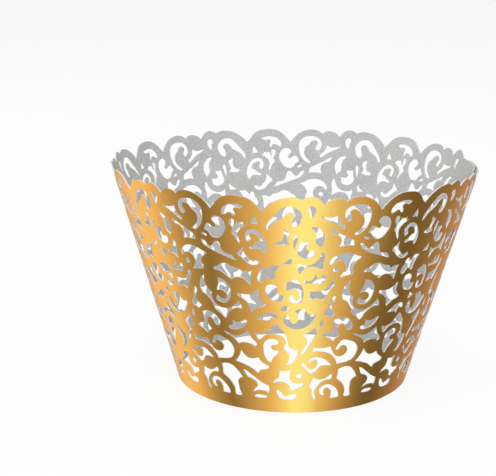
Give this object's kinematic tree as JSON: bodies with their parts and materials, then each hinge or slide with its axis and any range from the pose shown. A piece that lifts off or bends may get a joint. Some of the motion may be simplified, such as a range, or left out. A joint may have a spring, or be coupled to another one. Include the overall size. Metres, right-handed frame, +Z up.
{
  "type": "lace cupcake wrapper",
  "caption": "Open tapered cupcake wrapper of gold card, die-cut all round with scrolling lace and a scalloped top edge.",
  "frame": {"origin": "centre of the bounding box, at the level of the bottom edge", "axes": "+Z up along the cone from the narrow end to the scalloped rim, -Y towards the front, +X towards the lapped seam"},
  "size_m": [0.0835, 0.0834, 0.0516],
  "materials": {
    "gold_card": "satin gold foil on card"
  },
  "bodies": {
    "root": {"wrapper": "gold_card"}
  },
  "joints": []
}
